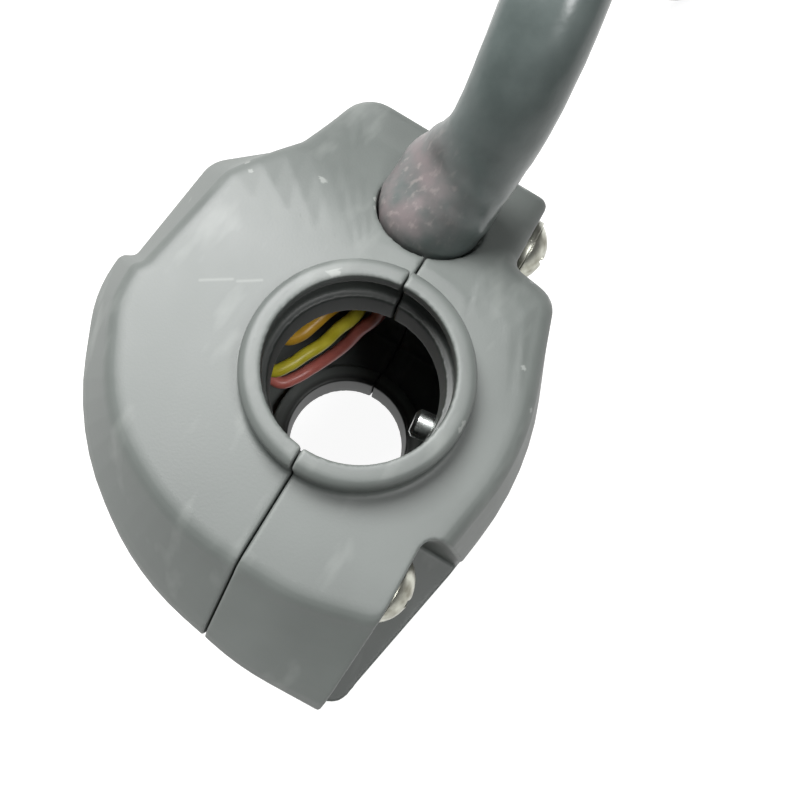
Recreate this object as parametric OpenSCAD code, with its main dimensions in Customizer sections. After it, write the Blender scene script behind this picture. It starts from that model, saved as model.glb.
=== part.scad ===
// Left-hand switch cluster of a motorbike: a split housing that clamps round the handlebar, with a
// dimmer rocker, a turn-signal slider, a horn button and the wiring harness that leaves it.
// Millimetres. Z is the bar axis, with the outboard end face at z = 0 and the cable end up.
// +X points to the front half, -X to the rider, and +Y to the cable exit.

/* [Bar clamp] */
// Diameter of the handlebar tube
bar_d = 22.2; // [21.5:0.1:23.5]
// Length of the clamping land at the outboard end
outboard_land = 8; // [6:0.5:12]
// Length of the clamping land at the cable end
inboard_land = 5; // [3.5:0.5:6]
// Radial width of the collar bead
collar_w = 2.7; // [2.4:0.1:3.6]
// Height of the collar above the cable-end face
collar_h = 5; // [3.5:0.5:6]
// How much wider than the bar the rim of the collar is, on the radius
rim_ease = 0.2; // [0.1:0.1:0.8]
// How much wider than the bar the groove under the rim is, on the radius
groove_depth = 1.1; // [0.9:0.1:1.5]

/* [Housing] */
// Length of the housing along the bar, without the collar
body_h = 50; // [46:1:56]
// Wall thickness of both halves
wall = 2.6; // [2.2:0.1:3]
// Thickness of the end walls
end_wall = 3; // [2.6:0.2:4]
// Height of the tapered shoulder below the cable-end face
shoulder_h = 13; // [10:1:15]
// Rounding of the edge of the cable-end face
edge_r = 3; // [1.5:0.5:4]
// Rounding of the edge of the outboard face
foot_r = 2; // [1:0.5:3]
// How far the ear and lug slope below the cable-end face
ear_drop = 6; // [4:0.5:7]
// Height of the underside of the ear and lug
ear_floor = 27; // [24:1:29]
// Place of the parting plane along X
split_x = -0.8; // [-1.5:0.1:0.5]
// Gap between the two halves
split_gap = 0.2; // [0.1:0.1:0.6]

/* [Clamp screws] */
// Thread diameter of the clamp screws
screw_d = 5; // [4:0.5:5.5]
// Diameter of the screw heads
head_d = 9.5; // [8:0.5:10.5]
// Height of the screw heads
head_h = 2.8; // [2.6:0.2:4]
// Diameter of the washers
washer_d = 10.6; // [9:0.2:11.4]
// Thickness of the washers
washer_t = 1; // [0.6:0.1:1.4]
// Distance of the screws below the cable-end face
screw_drop = 14; // [13:0.5:15]
// Place of the upper screw along Y
upper_screw_y = 35; // [34.5:0.5:36]
// Place of the lower screw along Y
lower_screw_y = -19.5; // [-20.5:0.5:-19]
// Place along X of the face under the upper washer
upper_seat_x = 10; // [9.8:0.1:10.8]
// Place along X of the face under the lower washer
lower_seat_x = 16.5; // [15.5:0.5:17]
// How deep the screws reach into the rear half
thread_depth = 12; // [9:1:14]
// Room between the lower washer and the floor of its pocket
pocket_ease = 0.7; // [0.5:0.1:3]

/* [Locating pin] */
// Diameter of the pin that enters the handlebar's hole
pin_d = 4; // [3:0.5:5]
// How far the pin stands into the bore
pin_reach = 2.5; // [2:0.5:4]
// Distance of the pin below the cable-end face
pin_drop = 8.5; // [8:0.5:12]
// Turn of the pin round the bar, from the middle of the front, in degrees
pin_angle = 6; // [0:1:10]

/* [Switches] */
// Height of the middle of the switches
switch_z = 21; // [20.8:0.1:22]
// Place of the dimmer rocker along Y
rocker_y = 16.4; // [16.2:0.1:16.8]
// Place of the turn-signal slider along Y
slider_y = 6.2; // [6:0.1:6.4]
// Thickness of the wall that carries the switches
bay_wall = 4.6; // [4:0.1:5]
// Distance from that wall to the contact boards
board_gap = 6.2; // [6:0.1:7]
// Thickness of the contact boards
board_t = 3; // [2:0.5:3.5]
// Width of the rocker
rocker_w = 8.4; // [7.4:0.2:8.6]
// Length of the rocker along the bar
rocker_l = 16; // [13:0.5:17]
// How far the rocker tilts each way, in degrees
rocker_tilt = 8; // [5:0.5:9]
// Diameter of the rocker's pivot pin
pivot_d = 2; // [1.6:0.1:2.2]
// Length of the slider's knob along the bar
knob_l = 11; // [9:0.5:12]
// How far the slider's knob stands out of the wall
knob_h = 5.6; // [4.5:0.1:7]
// Travel of the slider each way
turn_travel = 3.5; // [2:0.5:3.5]
// Travel of the knob when it is pushed in to cancel
cancel_travel = 1.5; // [1:0.1:1.6]
// Diameter of the horn button
horn_d = 12.8; // [11:0.2:13.4]
// How far the horn button stands out of its recess
horn_h = 4; // [3.5:0.1:6]
// Travel of the horn button
horn_travel = 2.5; // [1.5:0.1:2.6]
// Gap between a moving piece and the wall that it moves past
run_gap = 0.4; // [0.3:0.05:0.5]
// Gap between a shaft and its hole, on the radius
fit_gap = 0.05; // [0.03:0.01:0.08]

/* [Harness] */
// Diameter of the sleeve over the wires
sleeve_d = 10; // [9:0.2:10.2]
// Diameter of one wire inside the housing
wire_d = 2.2; // [1.6:0.1:2.3]
// Widest diameter of the sleeve's coil, at the middle of the sleeve
coil_d = 86; // [82:1:88]
// Distance between neighbouring turns
coil_pitch = 10.6; // [10.4:0.1:11]
// Width of the connector
plug_w = 20; // [17:0.5:21]
// Length of the connector
plug_l = 27; // [23:1:28]
// Height of the connector
plug_h = 16; // [13:0.5:20]

/* [Hidden] */
$fn = 64;

// Corners of the widest section, as [x, y, rounding], counter-clockwise from the lower front corner.
WIDE = [
    [19.2, -36.8, 3], [27.6, -2, 43], [18.4, 26.4, 4], [upper_seat_x, 27.4, 1.5],
    [upper_seat_x, 40.4, 1.5], [-22.6, 41.3, 5], [-25.5, 31.3, 3], [-37.2, 27, 8],
    [-37.2, 2.2, 0.6], [-39.1, 1.2, 0.8], [-38.8, -5, 20], [-29.5, -22.8, 40], [-12.2, -34.1, 40],
    [5, -37.2, 40]
];
// Two of these corners at the belt, where the shoulder starts: the nose and the facet's upper corner.
BELT_NOSE = [26.6, 3, 43];
BELT_FACET = [-36.9, 20.6, 5];
// The same corners at the edge of the cable-end face.
TOP = [
    [17.5, -24.5, 4], [22.8, 2, 34], [16.9, 24.6, 4], [upper_seat_x, 26, 1.5],
    [upper_seat_x, 40.4, 1.5], [-22.6, 41.3, 5], [-24.4, 26.6, 3], [-29.6, 15.5, 5],
    [-31, -0.6, 0.6], [-32, -1.4, 0.8], [-31.4, -7, 15], [-23.8, -19.6, 25], [-9.5, -26.8, 30],
    [7, -27, 20]
];
NOSE = 1;
EAR_TIP = 5;
FACET = 7;
LEDGE = 8;
BULGE = 10;
// Straight pieces that stand for the round of each corner.
STEPS = [5, 6, 5, 2, 3, 5, 4, 6, 1, 1, 5, 6, 6, 4];
// Pieces that the straight edge after each corner is drawn in.
EDGE_STEPS = [1, 1, 1, 2, 5, 3, 3, 4, 1, 1, 1, 1, 1, 1];
least_round = 0.3;
slope_start_y = 15;
cavity_top_y = 22.5;
big = 200;

bar_r = bar_d / 2;
belt_z = body_h - shoulder_h;
waist_z = belt_z - 8;
BELT = [for (i = [0:len(WIDE) - 1]) i == FACET ? BELT_FACET : i == NOSE ? BELT_NOSE : WIDE[i]];
rear_x = split_x - split_gap / 2;
front_x = split_x + split_gap / 2;
screw_z = body_h - screw_drop;
pin_z = body_h - pin_drop;

screw_ease = 0.35;
boss_r = screw_d / 2 + 2.9;
screw_end_x = rear_x - thread_depth;
web_w = 6;

// Steps of the bore, from the land at the cable end up to the rim.
land_top = body_h - 1;
land_base = land_top - inboard_land;
groove_top = body_h + collar_h - collar_w / 2 - 0.6;
rim_r = bar_r + rim_ease;
collar_r = rim_r + collar_w;
sleeve_wall = 3.2;
pin_root_x = collar_r + 3.5;

// Tongues of the rear half, as [y, y, z, z], which lie in grooves of the front half beyond the bore.
TONGUES = [[24.6, 26.4, 1.5, 28], [12.1, 13.2, 0.8, 7.2], [12.1, 26.4, 0.8, 2.2]];
tongue_reach = 1.4;
tongue_ease = 0.25;

// The pocket round the lower screw.
pocket_y = lower_screw_y + washer_d / 2 + 2.2;
pocket_corner_r = 2;
pocket_floor = screw_z - washer_d / 2 - pocket_ease;

// The wall that carries the dimmer and the slider, seen from the rider.
facet_x = WIDE[FACET].x;
bay_x = facet_x + bay_wall;
board_x = bay_x + board_gap;
bay_low_y = slider_y - 4.7;
bay_high_y = cavity_top_y + 1;
board_w = 9.8;
board_l = 2 * (switch_z - end_wall - run_gap);
post_r = 2;
post_z = board_l / 2 - post_r;
board_screw_d = 2.5;
board_screw_l = 8;
board_head_d = 4;
board_head_h = 1.5;
stud_d = 2;
stud_tail = 2.5;

// Dimmer rocker.
pivot_x = facet_x + 2.4;
pivot_l = rocker_w + 5;
rocker_valley = 1;
rocker_rise = 2.2;
rocker_reach = (rocker_l / 2) * cos(rocker_tilt)
    + (pivot_x - facet_x + rocker_valley + rocker_rise) * sin(rocker_tilt);
rocker_window_l = 2 * (rocker_reach + run_gap);
plunger_d = 2.4;
plunger_tip_x = board_x - run_gap;

// Turn-signal slider, whose stem runs in a slot and whose knob slides in the stem.
stem_w = 6.4;
stem_l = 5;
slot_w = stem_w + 2 * run_gap;
slot_l = stem_l + 2 * turn_travel + 2 * run_gap;
carriage_t = 2.4;
carriage_w = 8.6;
carriage_l = 2 * (post_z - post_r - run_gap - turn_travel);
carriage_x = bay_x + run_gap;
stem_top_x = facet_x + 0.2;
knob_face_x = facet_x - knob_h;
knob_under_x = facet_x - run_gap - cancel_travel;
knob_w = 7.4;
knob_stem_d = 2.6;
well_d = 5;
well_depth = 4;
bridge_t = 0.5;
turn_stud_y = 2.9;

// Horn button, square to the flat of the bulge between two of its corners.
horn_edge = [WIDE[BULGE + 1].x - WIDE[BULGE].x, WIDE[BULGE + 1].y - WIDE[BULGE].y];
horn_angle = atan2(-horn_edge.x, horn_edge.y) + 360;
horn_mid = [
    WIDE[BULGE].x + 0.43 * horn_edge.x,
    WIDE[BULGE].y + 0.43 * horn_edge.y
];
horn_recess = 1.2;
horn_recess_r = horn_d / 2 + 2;
horn_bay_r = horn_d / 2 + 3.4;
horn_bay_x = -horn_recess - bay_wall + 0.8;
horn_flange_x = horn_bay_x - run_gap;
horn_flange_t = 1.4;
horn_flange_r = horn_d / 2 + 1.2;
horn_stem_d = 4.4;
horn_board_gap = 5.6;
horn_board_x = horn_flange_x - horn_flange_t - horn_board_gap;
horn_bridge_t = 0.6;
horn_stud_z = horn_flange_r - 1.4;

// Route of the sleeve from inside the housing, up out of the ear, over and down to the coil. Its first
// part is the axis of the exit tunnel.
LEAD = [
    [-5.2, 20.6, 36], [-4.7, 22.3, 40], [-4.2, 24, 44], [-3.7, 25.7, 48], [-2.8, 27.9, 51.6],
    [-1.5, 30.05, 55.4], [-0.4, 31.8, 59.2], [0.05, 33.35, 63], [0, 35.6, 67], [-0.3, 38.8, 70.5],
    [-0.8, 42.6, 73.1], [-1.3, 47.3, 74.9], [-1.7, 52.2, 75.5], [-2, 57.2, 74.9], [-2.2, 62.4, 73],
    [-2.3, 69, 68.2], [-2.2, 78, 60.2], [-1.9, 88, 51.2], [-1.2, 98, 42.2], [0.3, 108, 33.2],
    [2.8, 117, 25.1], [6.2, 125.4, 17.9], [9.9, 133.2, 12.1], [13.3, 140.6, 8.5], [16, 147.4, 6.7],
    [17.7, 153.4, 6], [18.3, 158.4, 6], [18.3, 162, 6]
];
// Radius of the sleeve at its first points: it swells over the mouth of the tunnel.
ROOT_R = [5, 5, 5.2, 6.6, 6.9, 5.7, 5.1];
exit_way = unit(LEAD[3] - LEAD[0]);
exit_ease = 0.35;
mouth_low = 42.5;
mouth_high = 54;
mouth_r = 11;
lead_end = LEAD[len(LEAD) - 1];
coil_turns = 1;
coil_entry_l = 6;
coil_middle = [lead_end.x - coil_d / 2, lead_end.y + coil_entry_l];
coil_step = 15;
tail_r = 19.5;
tail_l = 2;
tie_angle = -4;
tie_w = 4;
tie_t = 0.9;
tie_ease = 0.3;

// Wires from each board's terminals. Each of them ends at its own place in the mouth of the sleeve.
YELLOW = [
    [-20.8, 3.3, 21], [-19.4, 3.3, 21.2], [-17.4, 1.4, 22.6], [-15.2, 0.8, 23.6], [-13.4, 2.8, 24],
    [-12, 5.8, 24.2], [-10.4, 8.8, 25], [-9.2, 11.4, 27.2], [-7.7, 13.8, 29.8]
];
ORANGE = [
    [-20.8, 9.1, 24.6], [-19.4, 9.1, 24.8], [-17.4, 6.8, 26.4], [-15.4, 5.6, 27.6],
    [-13.7, 7, 28.2], [-12.7, 9.6, 28.6], [-11.8, 12.4, 29.2], [-10.3, 15.2, 30.4]
];
RED = [
    [-20.8, 3.3, 17.4], [-19.4, 3.3, 17.2], [-17.2, 1.6, 16.8], [-14.7, 1, 16.6], [-12.8, 3.2, 16.2],
    [-11.2, 6.2, 16.4], [-9.4, 9.2, 18], [-7.7, 11.6, 21.2], [-6.3, 13.8, 25.6], [-4.6, 15.6, 29.6]
];
GREEN = [
    [-20.8, 16.4, 25], [-19.4, 16.4, 25.1], [-17.4, 14.2, 28.4], [-15.4, 12, 31], [-13.9, 12.8, 32],
    [-13.2, 15.5, 30.4], [-11.4, 18, 29], [-8, 19.9, 28.2], [-5.2, 21, 29.8]
];
BLACK = [
    [-20.8, 16.4, 17], [-19.4, 16.4, 17.1], [-17, 17, 19.2], [-14, 18, 21.4], [-10.6, 18.6, 23.4],
    [-7, 18.9, 25.8], [-3.6, 18.9, 28.8]
];
BLUE = [
    [-18.8, -4.3, 27.2], [-17.8, -3.78, 27.3], [-17, -2.2, 29.4], [-16.8, 1.4, 32.4], [-16.8, 6, 34.2],
    [-16.6, 10.6, 35], [-15.8, 15, 34.8], [-13.6, 18.6, 33.2], [-10.8, 20.8, 31.6],
    [-8.6, 21.3, 31]
];
sleeve_places = 6;
place_r = 3;
place_gap = 0.1;
place_run = 2.6;

// Vectors and smooth steps.
function unit(v) = v / norm(v);
function smooth_step(t) = let (c = min(max(t, 0), 1)) c * c * (3 - 2 * c);
function turned(p, a) = [p.x * cos(a) - p.y * sin(a), p.x * sin(a) + p.y * cos(a)];
function flat(p) = [p.x, p.y];
function left_of(v) = [-v.y, v.x];
function middle(ring) = [for (k = [0:2]) [for (p = ring) p[k]] * [for (p = ring) 1] / len(ring)];

// A closed outline of rounded corners, and the same outline drawn in by a distance.
function before(c, i) = flat(c[(i + len(c) - 1) % len(c)]);
function after(c, i) = flat(c[(i + 1) % len(c)]);
function turn_at(c, i) =
    let (a = flat(c[i]) - before(c, i), b = after(c, i) - flat(c[i])) atan2(cross(a, b), a * b);
function corner_arc(c, i, steps) =
    let (
        a = unit(flat(c[i]) - before(c, i)),
        turn = turn_at(c, i),
        start = flat(c[i]) - a * c[i][2] * tan(abs(turn) / 2),
        centre = start + sign(turn) * left_of(a) * c[i][2]
    )
    [for (k = [0:steps]) centre + turned(start - centre, turn * k / steps)];
function outline(c, steps, edges) =
    let (arcs = [for (i = [0:len(c) - 1]) corner_arc(c, i, steps[i])])
    [
        for (i = [0:len(c) - 1])
            let (from = arcs[i][steps[i]], to = arcs[(i + 1) % len(c)][0], n = edges[i])
            each concat(arcs[i], [for (k = [1:1:n - 1]) from + (to - from) * k / n])
    ];
function drawn_in(c, d) = [
    for (i = [0:len(c) - 1])
        let (
            a = left_of(unit(flat(c[i]) - before(c, i))),
            b = left_of(unit(after(c, i) - flat(c[i]))),
            p = flat(c[i]) + d * (a + b) / (1 + a * b)
        )
        [p.x, p.y, turn_at(c, i) > 0 ? max(c[i][2] - d, least_round) : c[i][2] + d]
];

// The housing's form: a foot, a straight belt, a tapered shoulder and a rounded top edge. The ear
// and lug slope away from the top face.
function slope(y) =
    ear_drop * smooth_step((y - slope_start_y) / (WIDE[EAR_TIP].y - slope_start_y));
function taper(s) = s < 0.35 ? s * s / 0.5775 : (s - 0.175) / 0.825;
function section(m) = BELT * (1 - m) + TOP * m;
function level(c, z, share, steps = STEPS, edges = EDGE_STEPS) =
    [for (p = outline(c, steps, edges)) [p.x, p.y, z - share * slope(p.y)]];
// A ring inside the collar's wall that closes a flat end round the bore, with the points of an outline
// spread out round it.
cap_r = (bar_r + collar_r) / 2;
function angle_past(p, start) = (atan2(p.y, p.x) - start + 720) % 360;
function cap_ring(ring, z) =
    let (n = len(ring), start = atan2(ring[0].y, ring[0].x))
    [
        for (i = [0:n - 1])
            let (a = start + (360 * i / n + angle_past(ring[i], start)) / 2)
            [cap_r * cos(a), cap_r * sin(a), z]
    ];
edge_from = 30;
shoulder_top = body_h - edge_r * (1 - sin(edge_from));
foot_rings = [
    for (a = [0:30:90]) level(drawn_in(WIDE, foot_r * (1 - sin(a))), foot_r * (1 - cos(a)), 0)
];
shoulder_rings = [
    for (s = [0:0.125:1])
        level(section(taper(s)), belt_z + s * (shoulder_top - belt_z), taper(s))
];
edge_rings = [
    for (a = [45:15:90])
        level(
            drawn_in(TOP, edge_r * (cos(edge_from) - cos(a))),
            body_h - edge_r * (1 - sin(a)), 1
        )
];
rim_ring = edge_rings[len(edge_rings) - 1];
collar_ring = cap_ring(rim_ring, body_h);
face_rings = [
    for (k = [0.2:0.2:0.8]) [
        for (i = [0:len(rim_ring) - 1])
            let (q = flat(rim_ring[i]) * (1 - k) + flat(collar_ring[i]) * k)
            [q.x, q.y, body_h - slope(q.y)]
    ]
];
form_rings = concat(
    [cap_ring(foot_rings[0], 0)], foot_rings, [level(WIDE, waist_z, 0)], shoulder_rings, edge_rings,
    face_rings, [collar_ring]
);
// The hollow follows the same sections without the ledge beside the switches.
function no_ledge(c) = [for (i = [0:len(c) - 1]) if (i != LEDGE && i != LEDGE + 1) c[i]];
function hollow_level(c, z) = 
    level(drawn_in(no_ledge(c), wall), z, 0, no_ledge(STEPS), no_ledge(EDGE_STEPS));
hollow_rings = concat(
    [hollow_level(WIDE, end_wall), hollow_level(WIDE, waist_z)],
    [
        for (s = [0:0.25:1])
            hollow_level(section(taper(s)), belt_z + s * (body_h - end_wall - belt_z))
    ]
);
cavity_rings = concat(
    [cap_ring(hollow_rings[0], end_wall)], hollow_rings,
    [cap_ring(hollow_rings[len(hollow_rings) - 1], body_h - end_wall)]
);

// A closed skin over rings of equal length, each end closed to its own middle.
function skin_points(rings) = concat(
    [for (ring = rings) each ring],
    [middle(rings[0]), middle(rings[len(rings) - 1])]
);
function skin_faces(count, n) = concat(
    [
        for (k = [0:count - 2], i = [0:n - 1])
            let (j = (i + 1) % n, low = k * n, high = low + n)
            each [[low + i, high + i, high + j], [low + i, high + j, low + j]]
    ],
    [
        for (i = [0:n - 1])
            let (j = (i + 1) % n, last = (count - 1) * n)
            each [[count * n, i, j], [count * n + 1, last + j, last + i]]
    ]
);
module skin(rings) {
    polyhedron(skin_points(rings), skin_faces(len(rings), len(rings[0])), convexity = 8);
}

// A round tube swept along a route. Its rings keep their turn from one point to the next.
function heading(route, i) = unit(
    route[min(i + 1, len(route) - 1)] - route[max(i - 1, 0)]
);
function across(u, t) = unit(u - t * (u * t));
function first_across(t) = across(abs(t.z) < 0.9 ? [0, 0, 1] : [1, 0, 0], t);
function tube_rings(route, radii, sides) = [
    for (
        i = 0, u = first_across(heading(route, 0));
        i < len(route);
        i = i + 1, u = i < len(route) ? across(u, heading(route, i)) : u
    )
    let (v = cross(heading(route, i), u), r = radii[min(i, len(radii) - 1)])
    [for (k = [0:sides - 1]) route[i] + r * (cos(360 * k / sides) * u + sin(360 * k / sides) * v)]
];
module tube(route, d, sides = 8) {
    skin(tube_rings(route, [d / 2], sides));
}

// A coil spring along +Z, with both ends lying flat.
spring_steps = 10;
function spring_route(d, length, turns) = [
    for (k = [0:spring_steps * turns])
        let (s = k / (spring_steps * turns))
        [d / 2 * cos(360 * turns * s), d / 2 * sin(360 * turns * s), length * s]
];

module along_x(x, y, z) {
    translate([x, y, z]) rotate([0, 90, 0]) children();
}
module block(low, high) {
    translate(low) cube(high - low);
}
module rear_side() {
    block([-big, -big, -big], [rear_x, big, big]);
}
module front_side() {
    block([front_x, -big, -big], [big, big, big]);
}
module at_pin(from) {
    rotate([0, 0, pin_angle]) along_x(from, 0, pin_z) children();
}
module at_horn() {
    translate([horn_mid.x, horn_mid.y, switch_z]) rotate([0, 0, horn_angle]) children();
}

// Both halves of the housing before they are parted.
module form() {
    difference() {
        skin(form_rings);
        ear_underside();
    }
}
module ear_underside() {
    root = WIDE[EAR_TIP + 1];
    translate([0, 0, -1]) linear_extrude(ear_floor + 1)
        polygon([
            [root.x - 0.5, root.y + 0.7], [WIDE[3].x + 0.6, WIDE[3].y], [big, WIDE[3].y],
            [big, big], [root.x - 0.5, big]
        ]);
}
module cavity() {
    intersection() {
        skin(cavity_rings);
        block([-big, -big, 0], [big, cavity_top_y, body_h]);
    }
}
module collar() {
    round = collar_w / 2;
    side_top = body_h + collar_h - round;
    translate([0, 0, land_base]) cylinder(r = collar_r, h = side_top - land_base);
    translate([0, 0, side_top]) rotate_extrude() hull() {
        translate([0, -round]) square([1, 2 * round]);
        translate([collar_r - round, 0]) circle(r = round);
    }
}
module lands() {
    collar();
    cylinder(r = bar_r + sleeve_wall, h = outboard_land);
}
module bore() {
    translate([0, 0, -1]) cylinder(r = bar_r, h = land_top + 1.2);
    translate([0, 0, land_top]) cylinder(r = bar_r + groove_depth, h = groove_top - land_top);
    translate([0, 0, groove_top - 0.2]) cylinder(r = rim_r, h = collar_h + 2);
}
module tunnel() {
    tilt = acos(exit_way.z);
    round = atan2(exit_way.y, exit_way.x);
    inner_r = sleeve_d / 2 + exit_ease;
    below = 6;
    mouth_from = (mouth_low - LEAD[0].z) / exit_way.z;
    mouth_to = (mouth_high - LEAD[0].z) / exit_way.z;
    translate(LEAD[0]) rotate([0, tilt, round]) {
        translate([0, 0, -below]) cylinder(r = inner_r, h = mouth_to + below);
        translate([0, 0, mouth_from]) cylinder(r1 = inner_r - 0.2, r2 = mouth_r, h = mouth_to - mouth_from);
    }
}
// Boss of the lower screw, hung from the cable-end wall by a web.
module lower_boss(from_x, to_x) {
    along_x(from_x, lower_screw_y, screw_z) cylinder(r = boss_r, h = to_x - from_x);
    block(
        [from_x, lower_screw_y - web_w / 2, screw_z],
        [to_x, lower_screw_y + web_w / 2, body_h - end_wall + 0.8]
    );
}
module pocket(grow) {
    r = pocket_corner_r;
    x = lower_seat_x - grow;
    y = pocket_y + grow;
    z = pocket_floor - grow;
    block([x + r, -big, z], [big, y, big]);
    block([x, -big, z], [big, y - r, big]);
    translate([x + r, y - r, z]) cylinder(r = r, h = big);
}

module tongues(grow) {
    for (t = TONGUES)
        block(
            [rear_x - 0.5, t[0] - grow, t[2] - grow],
            [front_x + tongue_reach + grow, t[1] + grow, t[3] + grow]
        );
}

// The rear half carries the switches, and the tapped holes of the clamp screws.
module switch_bay() {
    block([facet_x + 1.2, bay_low_y, end_wall - 1], [bay_x, bay_high_y, waist_z - 0.4]);
    block(
        [facet_x + 1.8, bay_low_y + 0.3, waist_z - 1],
        [bay_x, rocker_y + post_r + 0.8, switch_z + board_l / 2]
    );
    for (y = [rocker_y, slider_y], side = [-1, 1])
        along_x(bay_x - 1, y, switch_z + side * post_z) cylinder(r = post_r, h = board_gap + 1);
    at_horn() {
        along_x(horn_bay_x, 0, 0) cylinder(r = horn_bay_r, h = -horn_recess - horn_bay_x + 0.4);
        for (side = [-1, 1])
            along_x(horn_board_x, 0, side * post_z) cylinder(r = post_r, h = -1 - horn_board_x);
    }
}
module switch_windows() {
    block(
        [facet_x - big, rocker_y - rocker_w / 2 - run_gap, switch_z - rocker_window_l / 2],
        [bay_x + 1, rocker_y + rocker_w / 2 + run_gap, switch_z + rocker_window_l / 2]
    );
    translate([pivot_x, rocker_y + pivot_l / 2, switch_z])
        rotate([90, 0, 0]) cylinder(r = pivot_d / 2 + fit_gap, h = pivot_l);
    block(
        [facet_x - big, slider_y - slot_w / 2, switch_z - slot_l / 2],
        [bay_x + 1, slider_y + slot_w / 2, switch_z + slot_l / 2]
    );
    at_horn() {
        along_x(-horn_recess, 0, 0) cylinder(r = horn_recess_r, h = big);
        along_x(horn_bay_x - 1, 0, 0) cylinder(r = horn_d / 2 + run_gap, h = big);
        for (side = [-1, 1])
            along_x(horn_board_x - 1, 0, side * post_z)
                cylinder(r = board_screw_d / 2 + fit_gap, h = board_screw_l - board_t + 1.6);
    }
    for (y = [rocker_y, slider_y], side = [-1, 1])
        along_x(board_x - board_screw_l + board_t - 0.6, y, switch_z + side * post_z)
            cylinder(r = board_screw_d / 2 + fit_gap, h = board_screw_l);
}
module rear_housing() {
    color("#3a3b3a") difference() {
        union() {
            difference() {
                intersection() {
                    form();
                    rear_side();
                }
                cavity();
            }
            intersection() {
                lands();
                rear_side();
            }
            lower_boss(screw_end_x - 2, rear_x);
            switch_bay();
            tongues(0);
        }
        bore();
        tunnel();
        switch_windows();
        for (y = [upper_screw_y, lower_screw_y])
            along_x(screw_end_x - 0.6, y, screw_z) cylinder(r = screw_d / 2 + fit_gap, h = big);
    }
}

// The front half takes the screws' heads and the locating pin.
module front_housing() {
    color("#3d3e3c") difference() {
        union() {
            difference() {
                intersection() {
                    form();
                    front_side();
                }
                difference() {
                    cavity();
                    pocket(wall);
                }
            }
            intersection() {
                lands();
                front_side();
            }
            lower_boss(front_x, lower_seat_x - 1);
            at_pin(bar_r + 2.4) cylinder(r = pin_d / 2 + 2.2, h = pin_root_x - bar_r);
        }
        bore();
        tunnel();
        tongues(tongue_ease);
        pocket(0);
        for (y = [upper_screw_y, lower_screw_y])
            along_x(-big / 2, y, screw_z) cylinder(r = screw_d / 2 + screw_ease, h = big);
        at_pin(0) cylinder(r = pin_d / 2, h = pin_root_x);
    }
}

// Pan-head clamp screw with a cross recess, driven along -X.
module clamp_screw(seat_x, y) {
    under = seat_x + washer_t;
    dome_r = head_d * 0.6;
    recess_w = head_d * 0.12;
    recess_l = head_d * 0.5;
    recess_depth = head_h * 0.6;
    along_x(under, y, screw_z) difference() {
        intersection() {
            cylinder(d = head_d, h = head_h);
            translate([0, 0, head_h - dome_r]) sphere(r = dome_r);
        }
        for (a = [0, 90])
            rotate([0, 0, a + 20])
                block(
                    [-recess_l / 2, -recess_w / 2, head_h - recess_depth],
                    [recess_l / 2, recess_w / 2, head_h + 1]
                );
    }
    along_x(screw_end_x, y, screw_z) cylinder(d = screw_d, h = under - screw_end_x);
}
module upper_clamp_screw() {
    color("#b9bab4") clamp_screw(upper_seat_x, upper_screw_y);
}
module lower_clamp_screw() {
    color("#b9bab4") clamp_screw(lower_seat_x, lower_screw_y);
}
module clamp_washers() {
    color("#c6c6c0")
        for (seat = [[upper_seat_x, upper_screw_y], [lower_seat_x, lower_screw_y]])
            along_x(seat[0], seat[1], screw_z) difference() {
                cylinder(d = washer_d, h = washer_t);
                translate([0, 0, -1]) cylinder(d = screw_d + 2 * fit_gap, h = washer_t + 2);
            }
}
module locating_pin() {
    tip = 0.5;
    tip_x = bar_r - pin_reach;
    color("#9a9c9c") {
        at_pin(tip_x + tip) cylinder(d = pin_d, h = pin_root_x - tip_x - tip);
        at_pin(tip_x) cylinder(d1 = pin_d - 2 * tip, d2 = pin_d, h = tip);
    }
}

// Dimmer: a rocker on a cross pin, with a spring plunger that sweeps over the contact board.
module dimmer_rocker() {
    half = rocker_l / 2;
    crest_x = facet_x - rocker_valley - rocker_rise;
    color("#1d1d1d") difference() {
        union() {
            translate([0, rocker_y + rocker_w / 2, switch_z]) rotate([90, 0, 0])
                linear_extrude(rocker_w)
                    polygon([
                        [facet_x - rocker_valley, 0], [crest_x, half - 1.2], [crest_x + 0.8, half],
                        [pivot_x - 1.6, half], [bay_x - 0.6, half * 0.55], [bay_x - 0.6, -half * 0.55],
                        [pivot_x - 1.6, -half], [crest_x + 0.8, -half], [crest_x, 1.2 - half]
                    ]);
            block(
                [bay_x - 1, rocker_y - 2.6, switch_z - 2.4],
                [board_x - 2.4, rocker_y + 2.6, switch_z + 2.4]
            );
        }
        translate([pivot_x, rocker_y + rocker_w, switch_z])
            rotate([90, 0, 0]) cylinder(r = pivot_d / 2 + fit_gap, h = 2 * rocker_w);
        along_x(bay_x, rocker_y, switch_z) cylinder(r = plunger_d / 2 + fit_gap, h = big);
    }
}
module dimmer_pivot() {
    color("#b0b2b2") translate([pivot_x, rocker_y + pivot_l / 2, switch_z])
        rotate([90, 0, 0]) cylinder(d = pivot_d, h = pivot_l);
}
module dimmer_plunger() {
    r = plunger_d / 2;
    color("#c39b4c") {
        along_x(bay_x + 0.1, rocker_y, switch_z) cylinder(r = r, h = plunger_tip_x - r - bay_x - 0.1);
        translate([plunger_tip_x - r, rocker_y, switch_z]) sphere(r = r);
    }
}

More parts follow.
